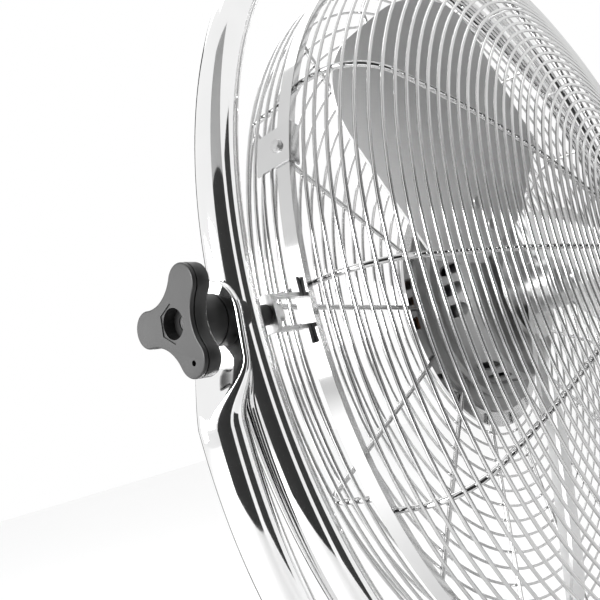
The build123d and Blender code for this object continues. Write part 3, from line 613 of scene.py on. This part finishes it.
# %% Yoke
def section(bm, centre, tilt, thick, wide):
    """A pressed tube's section, `thick` across the yoke and `wide` along the fan's line."""
    out = Matrix.Translation(centre) @ Matrix.Rotation(tilt, 4, "Y")
    loop = bmesh.ops.create_circle(bm, cap_ends=False, radius=thick / 2, segments=ROUND)["verts"]
    half_run = (wide - thick) / 2
    bmesh.ops.translate(bm, vec=(0, half_run, 0), verts=[v for v in loop if v.co.y > 1e-7])
    bmesh.ops.translate(bm, vec=(0, -half_run, 0), verts=[v for v in loop if v.co.y < -1e-7])
    bmesh.ops.transform(bm, matrix=out, verts=loop)
    return [edge for edge in bm.edges if all(vert in loop for vert in edge.verts)]


def half_yoke(bm, side):
    """Sections from the tab's top down to the bottom of the arc, on one side."""
    loops = []
    for step in range(1, 11):
        rise = TAB_R * math.cos(math.radians(9 * step))
        wide = 2 * math.sqrt(TAB_R**2 - rise**2)
        loops.append(((side * tab_x, rise), 0.0, TAB_THICK, max(wide, TAB_THICK * 1.02)))
    loops.append(((side * tab_x, -TAB_BELOW), 0.0, TAB_THICK, 2 * TAB_R))
    start = Vector((side * tab_x, -TAB_BELOW))
    end = Vector((side * yoke_r * math.cos(round_angle), -ROUND_BELOW))
    for step in range(1, 12):
        part = step / 12
        ease = part * part * (3 - 2 * part)
        thick = TAB_THICK + (2 * TUBE_R - TAB_THICK) * ease
        wide = 2 * TAB_R + (2 * TUBE_R - 2 * TAB_R) * ease
        middle = Vector((start.x + (end.x - start.x) * ease, start.y + (end.y - start.y) * part))
        loops.append((tuple(middle), side * round_angle * ease, thick, wide))
    for step in range(73):
        angle = round_angle + (math.pi / 2 - round_angle) * step / 72
        place = (side * yoke_r * math.cos(angle), -yoke_r * math.sin(angle))
        loops.append((place, side * angle, 2 * TUBE_R, 2 * TUBE_R * 1.0001))
    rows = [
        section(bm, pivot + Vector((x, 0, z)), tilt, thick, wide)
        for (x, z), tilt, thick, wide in loops
    ]
    bmesh.ops.edgeloop_fill(bm, edges=rows[0])
    for upper, lower in zip(rows, rows[1:]):
        bmesh.ops.bridge_loops(bm, edges=upper + lower)


yoke = bmesh.new()
for side in (-1, 1):
    half_yoke(yoke, side)
bent_yoke = finish_piece(yoke, "polished_yoke", "yoke", "chrome_tube", Matrix.Identity(4), 40)
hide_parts("yoke_tube")

# %% [markdown]
# ## The studio
#
# Chrome shows what is round it, so the room matters as much as the metal. The room here is a
# white one: a pale floor with painted shade, grey round the base and lighter away from it, a bright sky and three
# soft lights.
# Black flags, as hung in any product studio, stand round the fan, and they are what draws the
# dark stripes along a polished tube. The flags themselves are only seen in reflections.

# %% Floor
FLOOR_HALF = 6.0
PAINTED_SHADE_CORE = 0.4  # painted shade: the floor is painted greyest this close to the pole
PAINTED_SHADE_FADE = 1.8
floor_mesh = bpy.data.meshes.new("floor")
floor_bm = bmesh.new()
bmesh.ops.create_grid(floor_bm, x_segments=1, y_segments=1, size=FLOOR_HALF)
floor_bm.to_mesh(floor_mesh)
floor_bm.free()
FLOOR = Shader("floor_painted_shade", Roughness=0.7)
from_base = FLOOR.node("ShaderNodeVectorMath", {"operation": "LENGTH"}, FLOOR.place, out=1)
# Painted shade round the base: the floor's colour is darkest near the pole and lightens outwards over the fade
# distance.
past_painted_shade = ((from_base - PAINTED_SHADE_CORE) / PAINTED_SHADE_FADE).clamped()
FLOOR.set(Base_Color=FLOOR.colours(past_painted_shade + FLOOR.noise(0.4) * 0.04, grey(0.62), grey(0.94)))
floor_mesh.materials.append(FLOOR.material)
floor = bpy.data.objects.new("floor", floor_mesh)
bpy.context.scene.collection.objects.link(floor)

# %% Sky
world = bpy.data.worlds.new("white_room")
bpy.context.scene.world = world
world.use_nodes = True
sky = world.node_tree.nodes["Background"]
sky.inputs["Color"].default_value = (1.0, 1.0, 1.0, 1.0)
sky.inputs["Strength"].default_value = 1.0
bpy.context.scene.view_settings.view_transform = "Standard"


# %% Flags
def flag_card(name, finish, azimuth, distance, width, low, high):
    """A matt card that stands upright in one direction from the pivot and faces it."""
    bm = bmesh.new()
    bmesh.ops.create_grid(bm, x_segments=1, y_segments=1, size=0.5)
    bmesh.ops.scale(bm, vec=(width, high - low, 1), verts=bm.verts)
    away = Vector((math.cos(azimuth), math.sin(azimuth), 0))
    centre = Vector((pivot.x, pivot.y, (low + high) / 2)) + away * distance
    facing = (-away).to_track_quat("Z", "Y").to_matrix().to_4x4()
    bmesh.ops.transform(bm, matrix=Matrix.Translation(centre) @ facing, verts=bm.verts)
    mesh = bpy.data.meshes.new(name)
    bm.to_mesh(mesh)
    bm.free()
    mesh.materials.append(finish)
    flag = bpy.data.objects.new(name, mesh)
    bpy.context.scene.collection.objects.link(flag)
    flag.visible_camera = False
    flag.visible_shadow = False


def card_cloth(name, level):
    """Matt cloth, a little uneven."""
    shader = Shader(name, Roughness=0.95)
    shader.set(Base_Color=shader.colours(shader.noise(0.01), grey(level * 0.8), grey(level * 1.2)))
    return shader.material


black_cloth = card_cloth("black_cloth", 0.015)
grey_cloth = card_cloth("grey_cloth", 0.35)
FRONT = math.radians(226)
flag_card("front_flag", black_cloth, FRONT, distance=1.7, width=1.9, low=0.0, high=2.4)
flag_card("side_flag", black_cloth, math.radians(285), distance=1.5, width=0.9, low=0.3, high=2.2)
flag_card("rear_flag", black_cloth, math.radians(78), distance=1.3, width=0.45, low=0.0, high=2.2)
flag_card("upper_flag", grey_cloth, FRONT, distance=1.7, width=1.9, low=2.4, high=6.0)


# %% Lights
def soft_light(name, place, size, watts):
    """A square soft light that is aimed at the pivot."""
    lamp = bpy.data.lights.new(name, "AREA")
    lamp.energy = watts
    lamp.size = size
    holder = bpy.data.objects.new(name, lamp)
    bpy.context.scene.collection.objects.link(holder)
    aim = (pivot - Vector(place)).to_track_quat("-Z", "Y")
    holder.matrix_world = Matrix.Translation(place) @ aim.to_matrix().to_4x4()


soft_light("left_softbox", (-2.6, 0.3, 1.5), size=1.4, watts=95)
soft_light("top_softbox", (0.6, 0.9, 3.2), size=1.8, watts=20)
soft_light("rear_softbox", (-1.5, 1.6, 1.1), size=1.2, watts=14)
print("lights and cards are up")

# %% [markdown]
# ## The camera
#
# A close look at the left pivot from in front and to the left of the head, a little below
# it and rolled slightly, with a lens a bit longer than the eye's own view.

# %% Camera
eye = (-0.46735, -0.18791, 0.95937)
lens = bpy.data.cameras.new("view")
lens.sensor_width = 36.0
lens.lens = 39.49
lens.clip_start = 0.01
camera = bpy.data.objects.new("view", lens)
bpy.context.scene.collection.objects.link(camera)
yaw = math.radians(48.10)
pitch = math.radians(5.05)
roll = math.radians(-9.98)
forward = Vector(
    (math.sin(yaw) * math.cos(pitch), math.cos(yaw) * math.cos(pitch), math.sin(pitch))
)
level_right = Vector((math.cos(yaw), -math.sin(yaw), 0.0))
level_up = level_right.cross(forward)
right = level_right * math.cos(roll) + level_up * math.sin(roll)
upward = level_up * math.cos(roll) - level_right * math.sin(roll)
turned = Matrix((right, upward, -forward)).transposed().to_4x4()
camera.matrix_world = Matrix.Translation(eye) @ turned
bpy.context.scene.camera = camera
